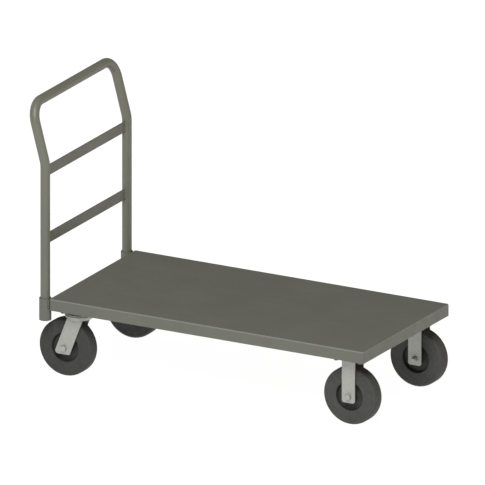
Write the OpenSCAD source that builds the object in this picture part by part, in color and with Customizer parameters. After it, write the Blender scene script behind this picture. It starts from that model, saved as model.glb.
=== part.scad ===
// Steel platform cart: a flanged deck on two fixed and two swivel casters, with a push handle that
// lifts out of two sockets. X runs along the deck towards the fixed casters and Z is up. The origin
// is on the floor, under the middle of the whole cart. Left and right are those of a person pushing.

/* [Deck] */
// Length of the deck over its flanges
deck_l = 1221; // [1100:0.1:1500]
// Width of the deck over its flanges
deck_w = 609.6; // [560:0.1:760]
// Depth of the flanges, from the top face of the deck
flange_h = 42; // [40:0.5:60]
// Thickness of the deck sheet
sheet_t = 2.7; // [2:0.1:3.4]
// Outside radius of the upright corners
corner_r = 8.5; // [8:0.1:20]
// Outside radius of the bend along the top edges
bend_r = 4.5; // [4:0.1:7]
// Width of each bolster channel, along the deck
bolster_w = 122; // [118:1:140]
// Thickness of the bolster channels and the stiffener
channel_t = 3; // [2:0.1:4]
// Width of the hat-shaped stiffener's crown
hat_w = 60; // [40:1:100]
// Depth of the stiffener
hat_h = 26; // [18:1:34]
// Width of each foot of the stiffener
hat_foot = 22; // [15:1:35]

/* [Handle] */
// Overall height of the cart, to the top of the handle
handle_h = 978.1; // [900:0.1:1050]
// Outside diameter of the handle pipe
tube_d = 33.4; // [30:0.1:34]
// Wall of the handle pipe
tube_t = 3; // [2:0.1:4]
// Distance between the centres of the two posts
post_c = 578.5; // [520:0.1:585]
// Height of the bend where the posts start to lean
bend_z = 759.5; // [740:0.1:800]
// Angle by which the upper posts lean back
lean = 15; // [5:1:20]
// Centre-line radius of the leaning bends
lean_bend_r = 115; // [80:1:130]
// Centre-line radius of the two top corners
top_bend_r = 63.5; // [50:0.1:90]
// Height of the centre of the upper crossbar
upper_bar_z = 730.5; // [640:0.1:735]
// Height of the centre of the lower crossbar
lower_bar_z = 488.7; // [400:0.1:600]
// Height of the flat crossbars' section
bar_h = 38.1; // [25:0.1:45]
// Thickness of the flat crossbars
bar_t = 4.8; // [3:0.1:8]

/* [Sockets] */
// Outside diameter of the socket pipes
socket_d = 42.2; // [41:0.1:46]
// Wall of the socket pipes
socket_t = 3.6; // [3:0.1:3.6]
// Length of the sockets
socket_l = 78.7; // [70:0.1:80]
// How far the socket mouths lie below the deck's top face
socket_drop = 3; // [1:0.1:8]
// Thickness of the disc that closes each socket at its foot
stop_t = 5; // [3:0.5:8]
// Gap between the sockets and the end flange, which the welds bridge
socket_gap = 1.5; // [0.1:0.1:2]

/* [Wheels] */
// Diameter of the wheels
wheel_d = 203.2; // [190:0.1:205]
// Width of the tread
wheel_w = 50.8; // [44:0.1:51]
// Radius of the tyre's shoulders
shoulder_r = 9; // [5:0.5:12]
// Radius at which the tyre meets the wheel core
tyre_in_r = 83.5; // [78:0.5:88]
// Radius of the recess around the hub
recess_r = 51; // [46:0.5:60]
// Depth of that recess on each side
recess_h = 14; // [8:0.5:16]
// Outside radius of the hub
hub_r = 24; // [21:0.5:30]
// Length of the hub
hub_l = 52; // [51:0.5:52.5]
// Diameter of the bearing bore in the hub
bearing_d = 30.2; // [29:0.1:34]

/* [Casters] */
// Height of the deck's lower edge, where the casters bolt on
mount_z = 241.3; // [241:0.1:260]
// Distance from the front end of the deck to the fixed casters' axles
front_inset = 79.4; // [76:0.1:110]
// Distance from the rear end of the deck to the swivel casters' kingpins
rear_inset = 81.2; // [76:0.1:110]
// Distance between the wheel planes of a pair of casters
track = 470; // [420:1:480]
// Horizontal distance from kingpin to wheel axle
swivel_lead = 43.6; // [38:0.1:48]
// Distance across the outside faces of the fork legs
fork_w = 66; // [65:0.1:68]
// Thickness of the fork legs
fork_t = 4.8; // [4:0.1:5]
// Width of the fixed forks' legs
rigid_leg_w = 50.8; // [44:0.1:60]
// Width of the swivel forks' legs, square to their edges
swivel_leg_w = 56; // [48:0.1:60]
// Rake of the swivel forks' legs from upright
rake = 21; // [15:0.5:24]
// How far the legs reach below the axle
leg_drop = 22; // [18:0.5:26]
// Radius of the swivel crown
crown_r = 51; // [48:0.5:54]
// Radius of the crown's lower face
crown_foot_r = 44; // [42:0.5:46]
// Length of the caster plates, along the deck
plate_l = 114.3; // [112:0.1:118]
// Width of the caster plates
plate_w = 101.6; // [98:0.1:106]
// Thickness of the caster plates
plate_t = 6.35; // [5:0.05:7]
// Spacing of the plate bolts along the deck
bolt_dx = 92.1; // [90:0.1:94]
// Spacing of the plate bolts across the deck
bolt_dy = 66.7; // [65:0.1:70]
// Diameter of the plate bolts
bolt_d = 9.5; // [8:0.1:10]
// Diameter of the axle bolts
axle_d = 12.7; // [12:0.1:13]
// Outside diameter of the axle sleeves that the bearings run on
sleeve_d = 19; // [18:0.1:20]

/* [Hidden] */
$fn = 64;

LEFT = 1;
RIGHT = -1;
SIDES = [LEFT, RIGHT];
eps = 0.01;          // overshoot of a cutting tool past the face it cuts
snug = 0.05;         // radial gap of parts that slide or turn on each other
weld_gap = 0.1;      // gap left between welded parts, which the weld bead bridges
lap = 0.5;           // how far the handle's straight runs reach into its bends
bend_swell = 0.05;   // how much thicker than the straight runs the bends are, on each face
tyre_gap = 0.12;     // gap between a tyre and its wheel core

paint = [0.46, 0.46, 0.42];
zinc = [0.68, 0.68, 0.65];
bright_steel = [0.78, 0.78, 0.76];
rubber = [0.28, 0.28, 0.27];
core_grey = [0.24, 0.24, 0.23];

// Heights
deck_top = mount_z + flange_h;
deck_under = deck_top - sheet_t;
axle_z = wheel_d / 2;

// Handle and sockets
tube_r = tube_d / 2;
socket_r = socket_d / 2;
socket_in_r = socket_r - socket_t;
socket_top = deck_top - socket_drop;
socket_foot = socket_top - socket_l;
post_foot = socket_foot + stop_t + 0.2;
bar_axis_z = handle_h - tube_r;
lean_rise = bar_axis_z - bend_z;
lean_l = lean_rise / cos(lean);
lean_tangent = lean_bend_r * tan(lean / 2);

// Places along the deck. The handle reaches past the deck's rear end and the front wheels past its
// front end, and the origin is midway between the two.
handle_reach = socket_gap + socket_r + lean_rise * tan(lean) + tube_r;
wheel_reach = max(0, axle_z - front_inset);
deck_x = (handle_reach - wheel_reach) / 2;
front_x = deck_x + deck_l / 2 - front_inset;
king_x = deck_x - deck_l / 2 + rear_inset;
rear_x = king_x - swivel_lead;
post_x = deck_x - deck_l / 2 - socket_gap - socket_r;
post_y = post_c / 2;
caster_y = track / 2;

// Casters
bolt_r = bolt_d / 2;
hole_r = bolt_r + 0.45;
leg_in = fork_w / 2 - fork_t;
fork_bend_r = 8;
plate_under = mount_z - plate_t;
washer_t = 2;
bolt_head_h = 6;
nut_h = 8;
slot_run = 8;        // length of the plate slots, centre to centre
slot_angle = 150;    // slant of the slots, from the deck's length
leg_corner_r = 9.5;
rear_corner_r = 11;
front_corner_r = 5;

// Swivel bearing, from the plate down
crown_top = plate_under - 11;
crown_foot = crown_top - 15;
race_foot = crown_top + 1.5;
race_in_r = 26;
race_out_r = 40;
ball_d = 9.5;
ball_ring_r = 33;
ball_z = (crown_top + race_foot) / 2;
web_under = crown_top - 7.3;
well_r = 24;
cup_top = web_under - 3;
cup_t = 3.2;
cup_r = 20;
thrust_ball_d = 4;
thrust_ring_r = 15;
king_r = 8;
king_head_r = 13;
king_head_h = 4;
king_nut_h = 6.5;
BALLS = 16;

// Hub and axle
hub_face = hub_l / 2;
hub_washer_t = 1.5;
axle_head_h = 8;
axle_nut_h = 11;
axle_hex = 19;       // across flats
bolt_hex = 14.3;
king_hex = 24;
roller_d = 5;
ROLLERS = 10;

function hex_r(flats) = flats / sqrt(3);

// A plate outline, centred, with round corners
module rounded_rect(l, w, r) {
    square([l - 2 * r, w], center = true);
    square([l, w - 2 * r], center = true);
    for (x = [-1, 1], y = [-1, 1]) translate([x * (l / 2 - r), y * (w / 2 - r)]) circle(r);
}

// Copies its children to the four bolt places of a caster plate; each copy is mirrored outwards
module at_plate_bolts() {
    for (x = [-1, 1], y = [-1, 1]) scale_to(x, y) translate([bolt_dx / 2, bolt_dy / 2, 0]) children();
}

module scale_to(x, y) {
    mirror([x < 0 ? 1 : 0, 0, 0]) mirror([0, y < 0 ? 1 : 0, 0]) children();
}

// Copies its children to the centres of all four caster plates
module at_casters() {
    for (x = [front_x, king_x], s = SIDES) translate([x, s * caster_y, 0]) children();
}

// A cylinder along Y between two distances from the wheel plane
module cross_rod(r, y0, y1, sides = $fn) {
    translate([0, y0, 0]) rotate([-90, 0, 0]) cylinder(r = r, h = y1 - y0, $fn = sides);
}

// ---- Deck ----

// Section of a flange and its bend: x = 0 is the outside face and y = 0 its lower edge
module flange_section() {
    square([sheet_t, flange_h - bend_r]);
    translate([bend_r, flange_h - bend_r]) intersection() {
        difference() {
            circle(bend_r);
            circle(bend_r - sheet_t);
        }
        translate([-bend_r, 0]) square(bend_r);
    }
}

// One straight flange along Y, its outside face towards +X
module straight_flange(l) {
    translate([0, l / 2, 0]) rotate([90, 0, 0]) linear_extrude(l) mirror([1, 0]) flange_section();
}

module deck_pan() {
    color(paint) translate([deck_x, 0, mount_z]) {
        translate([0, 0, flange_h - sheet_t]) linear_extrude(sheet_t)
            rounded_rect(deck_l - 2 * bend_r, deck_w - 2 * bend_r, corner_r - bend_r);
        for (a = [0, 180]) rotate(a) {
            translate([deck_l / 2, 0, 0]) straight_flange(deck_w - 2 * corner_r);
            rotate(90) translate([deck_w / 2, 0, 0]) straight_flange(deck_l - 2 * corner_r);
        }
        for (x = [-1, 1], y = [-1, 1]) scale_to(x, y)
            translate([deck_l / 2 - corner_r, deck_w / 2 - corner_r, 0])
                rotate_extrude(angle = 90) translate([corner_r, 0]) mirror([1, 0]) flange_section();
    }
}

// Channel across the deck, open towards the sheet, that carries a pair of casters
module bolster(x) {
    depth = deck_under - mount_z;
    span = deck_w - 2 * bend_r - 2 * weld_gap;
    color(paint) translate([x, 0, mount_z]) difference() {
        rotate([90, 0, 0]) linear_extrude(span, center = true) difference() {
            translate([-bolster_w / 2, 0]) square([bolster_w, depth - weld_gap]);
            translate([-bolster_w / 2 + channel_t, channel_t]) square([bolster_w - 2 * channel_t, depth]);
        }
        for (s = SIDES) translate([0, s * caster_y, -eps]) at_plate_bolts()
            cylinder(r = hole_r, h = channel_t + 2 * eps);
    }
}

module front_bolster() { bolster(front_x); }

module rear_bolster() { bolster(king_x); }

// Hat section along the middle of the deck, between the bolsters
module deck_stiffener() {
    l = front_x - king_x - bolster_w - 2 * weld_gap;
    top = deck_under - weld_gap;
    half = hat_w / 2;
    color(paint) translate([(front_x + king_x) / 2, 0, top]) rotate([90, 0, 90])
        linear_extrude(l, center = true)
        difference() {
            union() {
                translate([-half, -hat_h]) square([hat_w, hat_h]);
                translate([-half - hat_foot, -channel_t]) square([hat_w + 2 * hat_foot, channel_t]);
            }
            translate([-half + channel_t, channel_t - hat_h]) square([hat_w - 2 * channel_t, hat_h]);
        }
}

// ---- Handle sockets ----

module handle_socket(s) {
    color(paint) translate([post_x, s * post_y, socket_foot]) difference() {
        cylinder(r = socket_r, h = socket_l);
        translate([0, 0, -eps]) cylinder(r = socket_in_r, h = socket_l + 2 * eps);
    }
}

// The discs that the posts stand on
module socket_stops() {
    for (s = SIDES) color(paint) translate([post_x, s * post_y, socket_foot])
        cylinder(r = socket_in_r - snug, h = stop_t);
}

// Two upright beads between each socket and the end flange
module socket_welds() {
    bead_r = 5;
    bead_y = 11;
    bead_foot = mount_z + 1.5;
    bead_h = socket_top - 1.5 - bead_foot;
    end_x = deck_x - deck_l / 2;
    color(paint) for (s = SIDES, y = [-bead_y, bead_y]) difference() {
        translate([end_x, s * post_y + y, bead_foot]) cylinder(r = bead_r, h = bead_h);
        translate([post_x, s * post_y, 0]) cylinder(r = socket_r, h = deck_top);
        translate([end_x, s * post_y - socket_d, 0]) cube([socket_d, 2 * socket_d, deck_top]);
    }
}

// ---- Handle ----

// Section of the handle pipe, its wall made thicker on both sides by swell
module pipe_section(swell = 0) {
    difference() {
        circle(tube_r + swell);
        circle(tube_r - tube_t - swell);
    }
}

module pipe_straight(l) { translate([0, 0, -lap]) linear_extrude(l + 2 * lap) pipe_section(); }

module pipe_bend(r, angle) { rotate_extrude(angle = angle) translate([r, 0]) pipe_section(bend_swell); }

// One bent pipe: two posts, the bends where they start to lean, two corners and the top bar. The
// straight runs lap into the bends.
module handle_tube() {
    $fn = 40;
    half_bar = post_y - top_bend_r;
    color(paint) {
        for (s = SIDES) {
            translate([post_x, s * post_y, post_foot + lap])
                pipe_straight(bend_z - lean_tangent - post_foot - lap);
            translate([post_x - lean_bend_r, s * post_y, bend_z - lean_tangent]) rotate([90, 0, 0])
                pipe_bend(lean_bend_r, lean);
            translate([post_x, s * post_y, bend_z]) rotate([0, -lean, 0]) translate([0, 0, lean_tangent])
                pipe_straight(lean_l - top_bend_r - lean_tangent);
            translate([post_x, 0, bend_z]) rotate([0, -lean, 0]) scale_to(1, s)
                translate([0, half_bar, lean_l - top_bend_r]) rotate([90, 0, 90])
                    pipe_bend(top_bend_r, 90);
        }
        translate([post_x, 0, bend_z]) rotate([0, -lean, 0]) translate([0, -half_bar, lean_l])
            rotate([-90, 0, 0]) pipe_straight(2 * half_bar);
    }
}

// Flat bar between the posts, its ends shaped to the pipe
module crossbar(z) {
    color(paint) difference() {
        translate([post_x, 0, z]) cube([bar_t, post_c, bar_h], center = true);
        for (s = SIDES) translate([post_x, s * post_y, z - bar_h])
            cylinder(r = tube_r + weld_gap, h = 2 * bar_h);
    }
}

module upper_crossbar() { crossbar(upper_bar_z); }

module lower_crossbar() { crossbar(lower_bar_z); }

// Upright beads on both faces at both ends of each crossbar
module crossbar_welds() {
    bead_r = 3;
    bead_h = bar_h - 2;
    color(paint) for (z = [upper_bar_z, lower_bar_z], s = SIDES, f = [-1, 1]) difference() {
        translate([post_x + f * bar_t / 2, s * (post_y - tube_r), z - bead_h / 2])
            cylinder(r = bead_r, h = bead_h);
        translate([post_x, s * post_y, z - bar_h]) cylinder(r = tube_r + weld_gap, h = 2 * bar_h);
        translate([post_x, 0, z]) cube([bar_t, post_c, 2 * bar_h], center = true);
    }
}

// ---- Caster plates and their fasteners ----

// Plate with four slanting slots, its top face at the deck's lower edge
module caster_plate() {
    translate([0, 0, plate_under]) difference() {
        linear_extrude(plate_t) rounded_rect(plate_l, plate_w, 10);
        at_plate_bolts() translate([0, 0, -eps]) linear_extrude(plate_t + 2 * eps) rotate(slot_angle) {
            circle(hole_r);
            translate([slot_run, 0]) circle(hole_r);
            translate([0, -hole_r]) square([slot_run, 2 * hole_r]);
        }
    }
}

module rigid_plate(s) { color(zinc) translate([front_x, s * caster_y, 0]) caster_plate(); }

module caster_lock_washers() {
    color(zinc) at_casters() at_plate_bolts() translate([0, 0, plate_under - washer_t]) difference() {
        cylinder(r = bolt_r * 1.7, h = washer_t);
        translate([0, 0, -eps]) cylinder(r = bolt_r + snug, h = washer_t + 2 * eps);
    }
}

// Hexagon-head bolts, put in from below
module caster_bolts() {
    head_foot = plate_under - washer_t - bolt_head_h;
    color(bright_steel) at_casters() at_plate_bolts() translate([0, 0, head_foot]) {
        cylinder(r = hex_r(bolt_hex), h = bolt_head_h, $fn = 6);
        cylinder(r = bolt_r, h = mount_z + channel_t + nut_h + 2 - head_foot);
    }
}

// Nuts welded on top of the bolster webs
module caster_weld_nuts() {
    color(zinc) at_casters() at_plate_bolts() translate([0, 0, mount_z + channel_t]) difference() {
        cylinder(r = hex_r(bolt_hex), h = nut_h, $fn = 6);
        translate([0, 0, -eps]) cylinder(r = bolt_r + snug, h = nut_h + 2 * eps);
    }
}

// ---- Forks ----

// Outline of a fork leg, seen from the side with the axle at the origin. It rakes forward as it rises.
module leg_outline(w, rake, top, rear_r, front_r) {
    half = w / 2 / cos(rake);
    slope = tan(rake);
    foot = -leg_drop;
    rear = [-half + (foot + rear_r) * slope + rear_r / cos(rake), foot + rear_r];
    front = [half + (foot + front_r) * slope - front_r / cos(rake), foot + front_r];
    across = [cos(rake), -sin(rake)];
    polygon([[rear[0], foot], [front[0], foot], front + front_r * across,
        [half + top * slope, top], [-half + top * slope, top], rear - rear_r * across]);
    translate(rear) circle(rear_r);
    translate(front) circle(front_r);
}

// The fixed fork: one strip folded to a U, hung from its plate
module rigid_fork(s) {
    rise = plate_under - axle_z;
    half = fork_w / 2;
    reach = fork_bend_r - fork_t;
    color(zinc) translate([front_x, s * caster_y, axle_z]) difference() {
        intersection() {
            rotate([90, 0, 90]) linear_extrude(rigid_leg_w + 2, center = true) difference() {
                union() {
                    translate([-half, -leg_drop - 1]) square([fork_w, rise + leg_drop + 1 - fork_bend_r]);
                    translate([-half + fork_bend_r, -leg_drop - 1])
                        square([fork_w - 2 * fork_bend_r, rise + leg_drop + 1]);
                    for (y = [-1, 1]) translate([y * (half - fork_bend_r), rise - fork_bend_r])
                        circle(fork_bend_r);
                }
                translate([-leg_in, -leg_drop - 2]) square([2 * leg_in, rise + leg_drop + 2 - fork_bend_r]);
                translate([-leg_in + reach, -leg_drop - 2])
                    square([2 * (leg_in - reach), rise + leg_drop + 2 - fork_t]);
                for (y = [-1, 1]) translate([y * (leg_in - reach), rise - fork_bend_r]) circle(reach);
            }
            rotate([90, 0, 0]) linear_extrude(fork_w + 2, center = true)
                leg_outline(rigid_leg_w, 0, rise, leg_corner_r, leg_corner_r);
        }
        cross_rod(axle_d / 2 + snug, -fork_w, fork_w);
    }
}

// The swivel fork: a round crown over two raked legs
module swivel_fork(s) {
    rise = crown_top - axle_z - 6;
    color(zinc) translate([king_x, s * caster_y, 0]) difference() {
        union() {
            rotate_extrude() difference() {
                polygon([[king_r + 1, web_under], [king_r + 1, crown_top], [crown_r - 2, crown_top],
                    [crown_r, crown_top - 2], [crown_r, crown_top - 6], [crown_foot_r, crown_foot],
                    [well_r, crown_foot], [well_r, web_under]]);
                translate([ball_ring_r, ball_z]) circle(d = ball_d + 2 * snug);
                translate([thrust_ring_r, (cup_top + web_under) / 2]) circle(d = thrust_ball_d + 2 * snug);
            }
            for (f = SIDES) translate([-swivel_lead, f * (leg_in + fork_t / 2), axle_z]) rotate([90, 0, 0])
                linear_extrude(fork_t, center = true)
                    leg_outline(swivel_leg_w, rake, rise, rear_corner_r, front_corner_r);
        }
        translate([-swivel_lead, 0, axle_z]) cross_rod(axle_d / 2 + snug, -fork_w, fork_w);
    }
}

// ---- Swivel bearings ----

// Caster plate with the upper ball race on its underside and a sunk seat for the kingpin's head
module swivel_plate(s) {
    color(zinc) translate([king_x, s * caster_y, 0]) difference() {
        union() {
            caster_plate();
            translate([0, 0, race_foot]) cylinder(r = race_out_r, h = plate_under - race_foot);
        }
        translate([0, 0, race_foot - eps]) cylinder(r = race_in_r, h = plate_under - race_foot + eps);
        translate([0, 0, ball_z]) rotate_extrude() translate([ball_ring_r, 0])
            circle(d = ball_d + 2 * snug);
        translate([0, 0, plate_under - 1]) cylinder(r = king_r + snug, h = plate_t + 2);
        translate([0, 0, mount_z - king_head_h]) cylinder(r = king_head_r + snug, h = plate_t);
    }
}

module kingpin(s) {
    color(bright_steel) translate([king_x, s * caster_y, 0]) {
        translate([0, 0, mount_z - king_head_h]) cylinder(r = king_head_r, h = king_head_h);
        translate([0, 0, cup_top - cup_t - king_nut_h - 1])
            cylinder(r = king_r, h = mount_z - cup_top + cup_t + king_nut_h);
    }
}

// The nut and the thrust cup above it, which the lower balls run in
module kingpin_nut(s) {
    nut_foot = cup_top - cup_t - king_nut_h;
    color(bright_steel) translate([king_x, s * caster_y, 0]) difference() {
        union() {
            translate([0, 0, nut_foot]) cylinder(r = hex_r(king_hex), h = king_nut_h, $fn = 6);
            translate([0, 0, cup_top - cup_t]) cylinder(r = cup_r, h = cup_t);
        }
        translate([0, 0, nut_foot - 1]) cylinder(r = king_r + snug, h = cup_top - nut_foot + 2);
        translate([0, 0, (cup_top + web_under) / 2]) rotate_extrude() translate([thrust_ring_r, 0])
            circle(d = thrust_ball_d + 2 * snug);
    }
}

module ball_ring(s, ring_r, d, z) {
    color(bright_steel) translate([king_x, s * caster_y, z]) for (i = [0 : BALLS - 1])
        rotate(i * 360 / BALLS) translate([ring_r, 0, 0]) sphere(d = d);
}

module load_balls(s) { ball_ring(s, ball_ring_r, ball_d, ball_z); }

module thrust_balls(s) { ball_ring(s, thrust_ring_r, thrust_ball_d, (cup_top + web_under) / 2); }

// Grease nipple on the inboard side of the crown
module grease_fitting(s) {
    color(bright_steel) translate([king_x, s * (caster_y - crown_r - snug), crown_top - 4])
        rotate([s * 90, 0, 0]) {
            cylinder(r = 3.6, h = 4, $fn = 6);
            translate([0, 0, 4]) cylinder(r = 2.2, h = 3);
            translate([0, 0, 7]) sphere(r = 2.6);
        }
}

// ---- Axles ----

// Each set is drawn about its own wheel plane, with the bolt's head on the outboard side
module axle_bolt(s) {
    head = fork_w / 2;
    color(bright_steel) scale_to(1, s) {
        cross_rod(hex_r(axle_hex), head, head + axle_head_h, 6);
        cross_rod(axle_d / 2, -head - axle_nut_h - 2, head + axle_head_h / 2);
    }
}

module axle_nut(s) {
    inner = fork_w / 2;
    color(bright_steel) scale_to(1, s) difference() {
        union() {
            cross_rod(hex_r(axle_hex), -inner - axle_nut_h + 3, -inner, 6);
            cross_rod(axle_hex / 2 - 1, -inner - axle_nut_h, -inner - axle_nut_h + 3);
        }
        cross_rod(axle_d / 2 + snug, -inner - axle_nut_h - 1, -inner + 1);
    }
}

// Clamped between the legs; the wheel's bearing turns on it
module axle_sleeve() {
    color(bright_steel) difference() {
        cross_rod(sleeve_d / 2, -leg_in + snug, leg_in - snug);
        cross_rod(axle_d / 2 + snug, -leg_in, leg_in);
    }
}

module hub_washers() {
    gap = (leg_in - hub_face - hub_washer_t) / 2;
    color(zinc) for (s = SIDES) scale_to(1, s) difference() {
        cross_rod(hub_r - 5, hub_face + gap, hub_face + gap + hub_washer_t);
        cross_rod(sleeve_d / 2 + snug, hub_face, leg_in);
    }
}

module at_front(s) { translate([front_x, s * caster_y, axle_z]) children(); }

module at_rear(s) { translate([rear_x, s * caster_y, axle_z]) children(); }

module rigid_axle_bolts() { for (s = SIDES) at_front(s) axle_bolt(s); }

module rigid_axle_nuts() { for (s = SIDES) at_front(s) axle_nut(s); }

module rigid_axle_sleeves() { for (s = SIDES) at_front(s) axle_sleeve(); }

module rigid_hub_washers() { for (s = SIDES) at_front(s) hub_washers(); }

// ---- Wheels ----

// Spins a section, drawn as radius against distance from the wheel plane, about the axle
module spun() { rotate([90, 0, 0]) rotate_extrude() children(); }

module tyre() {
    out_r = wheel_d / 2;
    half = wheel_w / 2;
    color(rubber) spun() {
        translate([tyre_in_r, -half]) square([out_r - shoulder_r - tyre_in_r, wheel_w]);
        translate([out_r - shoulder_r, shoulder_r - half]) square([shoulder_r, wheel_w - 2 * shoulder_r]);
        for (y = [-1, 1]) translate([out_r - shoulder_r, y * (half - shoulder_r)]) circle(shoulder_r);
    }
}

module wheel_core() {
    rim_half = wheel_w / 2 - 1;
    web_half = wheel_w / 2 - recess_h;
    bore_r = bearing_d / 2;
    color(core_grey) spun() {
        translate([bore_r, -hub_face]) square([hub_r - bore_r, hub_l]);
        translate([hub_r - eps, -web_half]) square([recess_r - hub_r + 2 * eps, 2 * web_half]);
        translate([recess_r, -rim_half]) square([tyre_in_r - tyre_gap - recess_r, 2 * rim_half]);
    }
}

// A ring of rollers held by a cage with two end rings
module roller_bearing() {
    in_r = sleeve_d / 2 + snug;
    out_r = bearing_d / 2 - snug;
    ring_l = 4;
    pitch_r = (in_r + out_r) / 2;
    color(bright_steel) {
        for (y = [-hub_face + 0.5, hub_face - 0.5 - ring_l]) difference() {
            cross_rod(out_r, y, y + ring_l);
            cross_rod(in_r, y - 1, y + ring_l + 1);
        }
        for (i = [0 : ROLLERS - 1]) rotate([0, i * 360 / ROLLERS, 0]) translate([pitch_r, 0, 0])
            cross_rod(roller_d / 2, -hub_face + 1, hub_face - 1);
    }
}

deck_pan();
front_bolster();
rear_bolster();
deck_stiffener();
handle_socket(LEFT);  // handle_socket_left
handle_socket(RIGHT);  // handle_socket_right
socket_stops();
socket_welds();
caster_bolts();
caster_lock_washers();
caster_weld_nuts();
rigid_plate(LEFT);  // rigid_plate_left
rigid_plate(RIGHT);  // rigid_plate_right
rigid_fork(LEFT);  // rigid_fork_left
rigid_fork(RIGHT);  // rigid_fork_right
rigid_axle_bolts();
rigid_axle_nuts();
rigid_axle_sleeves();
rigid_hub_washers();
swivel_plate(LEFT);  // swivel_plate_left
swivel_plate(RIGHT);  // swivel_plate_right
kingpin(LEFT);  // kingpin_left
kingpin(RIGHT);  // kingpin_right
kingpin_nut(LEFT);  // kingpin_nut_left
kingpin_nut(RIGHT);  // kingpin_nut_right
handle_tube();
upper_crossbar();
lower_crossbar();
crossbar_welds();
swivel_fork(LEFT);  // swivel_fork_left
swivel_fork(RIGHT);  // swivel_fork_right
load_balls(LEFT);  // load_balls_left
load_balls(RIGHT);  // load_balls_right
thrust_balls(LEFT);  // thrust_balls_left
thrust_balls(RIGHT);  // thrust_balls_right
grease_fitting(LEFT);  // grease_fitting_left
grease_fitting(RIGHT);  // grease_fitting_right
at_rear(LEFT) axle_bolt(LEFT);  // swivel_axle_bolt_left
at_rear(RIGHT) axle_bolt(RIGHT);  // swivel_axle_bolt_right
at_rear(LEFT) axle_nut(LEFT);  // swivel_axle_nut_left
at_rear(RIGHT) axle_nut(RIGHT);  // swivel_axle_nut_right
at_rear(LEFT) axle_sleeve();  // swivel_axle_sleeve_left
at_rear(RIGHT) axle_sleeve();  // swivel_axle_sleeve_right
at_rear(LEFT) hub_washers();  // swivel_hub_washers_left
at_rear(RIGHT) hub_washers();  // swivel_hub_washers_right
at_front(LEFT) tyre();  // tyre_front_left
at_front(RIGHT) tyre();  // tyre_front_right
at_rear(LEFT) tyre();  // tyre_rear_left
at_rear(RIGHT) tyre();  // tyre_rear_right
at_front(LEFT) wheel_core();  // wheel_core_front_left
at_front(RIGHT) wheel_core();  // wheel_core_front_right
at_rear(LEFT) wheel_core();  // wheel_core_rear_left
at_rear(RIGHT) wheel_core();  // wheel_core_rear_right
at_front(LEFT) roller_bearing();  // roller_bearing_front_left
at_front(RIGHT) roller_bearing();  // roller_bearing_front_right
at_rear(LEFT) roller_bearing();  // roller_bearing_rear_left
at_rear(RIGHT) roller_bearing();  // roller_bearing_rear_right
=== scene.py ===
"""Looks of the platform cart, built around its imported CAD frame. +X runs along the deck towards the
fixed casters, +Y to the left of a person pushing and +Z up. Shapes are drawn in millimetres and
turned into metres when their mesh is made."""

import math

import bmesh
import bpy
from mathutils import Matrix, Vector


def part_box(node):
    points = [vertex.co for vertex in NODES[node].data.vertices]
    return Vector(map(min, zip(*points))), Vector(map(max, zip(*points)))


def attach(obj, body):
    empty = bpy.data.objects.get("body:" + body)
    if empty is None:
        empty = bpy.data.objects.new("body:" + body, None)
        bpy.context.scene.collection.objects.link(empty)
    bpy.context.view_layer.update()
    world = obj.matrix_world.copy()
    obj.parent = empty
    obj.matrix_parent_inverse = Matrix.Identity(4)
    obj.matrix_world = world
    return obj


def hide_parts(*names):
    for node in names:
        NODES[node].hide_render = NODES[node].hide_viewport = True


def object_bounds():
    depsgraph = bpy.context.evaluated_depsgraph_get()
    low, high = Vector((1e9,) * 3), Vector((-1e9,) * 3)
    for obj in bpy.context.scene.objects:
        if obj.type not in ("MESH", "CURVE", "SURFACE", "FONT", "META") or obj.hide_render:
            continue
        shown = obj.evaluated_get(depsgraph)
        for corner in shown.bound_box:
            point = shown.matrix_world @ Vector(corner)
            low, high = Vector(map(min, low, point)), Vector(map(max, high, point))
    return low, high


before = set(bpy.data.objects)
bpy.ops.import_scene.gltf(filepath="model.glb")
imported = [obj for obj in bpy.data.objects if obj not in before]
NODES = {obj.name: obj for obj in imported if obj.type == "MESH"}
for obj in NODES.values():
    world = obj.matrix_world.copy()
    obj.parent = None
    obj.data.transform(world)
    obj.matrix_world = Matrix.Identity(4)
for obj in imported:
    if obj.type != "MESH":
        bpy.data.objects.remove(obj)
CAD_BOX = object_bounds()
MM = 0.001
SIDES = {"left": 1, "right": -1}
WHEELS = ("front_left", "front_right", "rear_left", "rear_right")
QUARTER = math.pi / 2


def ends(node):
    """The lowest and highest corner of a CAD node's box, in millimetres."""
    low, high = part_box(node)
    return low / MM, high / MM


def centre(node):
    """The middle of a CAD node's box, in millimetres."""
    low, high = ends(node)
    return (low + high) / 2


# ---- Camera, lights and floor ----

AZIMUTH, ELEVATION = 28.72, 18.20
VIEW_WIDTH = 1.651
AIM_RIGHT, AIM_UP = 0.0084, -0.0010
CAMERA_AWAY = 12
LIGHTS_AWAY = 7.0
LIGHTS_AIM = Vector((0, 0, 0.4))
SKY_LIGHT, SKY_SEEN = 0.16, 1.0


def away_at(azimuth, elevation):
    """The direction out to an angle in degrees. Azimuth 0 is on the -Y side, 90 on the +X side."""
    a, e = math.radians(azimuth), math.radians(elevation)
    return Vector((math.sin(a) * math.cos(e), -math.cos(a) * math.cos(e), math.sin(e)))


def look_in(thing, away):
    """Links a camera or light that looks back along a direction."""
    thing.rotation_mode = "QUATERNION"
    thing.rotation_quaternion = away.to_track_quat("Z", "Y")
    bpy.context.scene.collection.objects.link(thing)


def make_camera():
    """A parallel view, framed a little off the middle of the cart."""
    data = bpy.data.cameras.new("camera")
    data.type = "ORTHO"
    data.ortho_scale = VIEW_WIDTH
    data.clip_end = 50
    camera = bpy.data.objects.new("camera", data)
    away = away_at(AZIMUTH, ELEVATION)
    right = away_at(AZIMUTH + 90, 0)
    up = away.cross(right)
    camera.location = (CAD_BOX[0] + CAD_BOX[1]) / 2 + right * AIM_RIGHT + up * AIM_UP + away * CAMERA_AWAY
    look_in(camera, away)
    bpy.context.scene.camera = camera


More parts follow.
